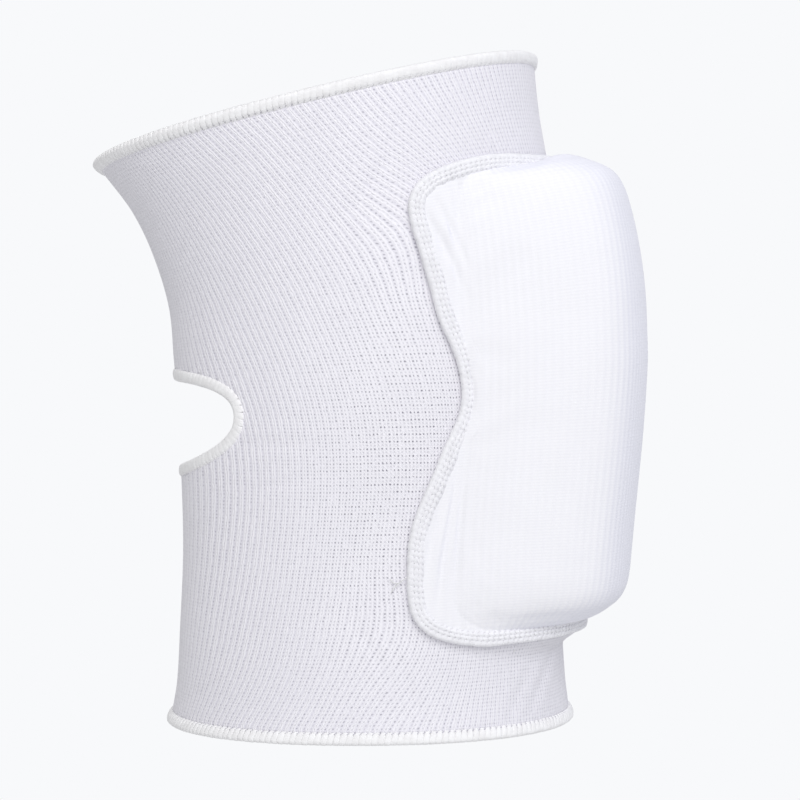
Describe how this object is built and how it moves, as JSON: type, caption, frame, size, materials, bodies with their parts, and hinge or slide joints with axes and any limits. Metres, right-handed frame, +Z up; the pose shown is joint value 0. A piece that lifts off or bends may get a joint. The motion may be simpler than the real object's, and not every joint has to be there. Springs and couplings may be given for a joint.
{
  "type": "volleyball knee pad",
  "caption": "Knitted knee sleeve for a slightly bent knee, with a foam pad in a ribbed cover sewn to its front, overlocked edges and an oval hole behind the knee.",
  "frame": {"origin": "the middle of the leg at the knee, inside the sleeve, level with the hole behind the knee", "axes": "+X towards the front of the knee, where the pad is, Y across the leg, +Z up the thigh"},
  "size_m": [0.1829, 0.12, 0.2187],
  "materials": {
    "sleeve_knit": "white elastic knit with small open stitches",
    "overlock_thread": "thick soft white overlock thread",
    "pad_cover": "white stretch fabric with fine soft vertical ribs"
  },
  "bodies": {
    "root": {"sleeve": "sleeve_knit", "top_hem": "overlock_thread", "bottom_hem": "overlock_thread", "hole_binding": "overlock_thread", "pad": "pad_cover", "pad_edge": "overlock_thread"}
  },
  "joints": []
}
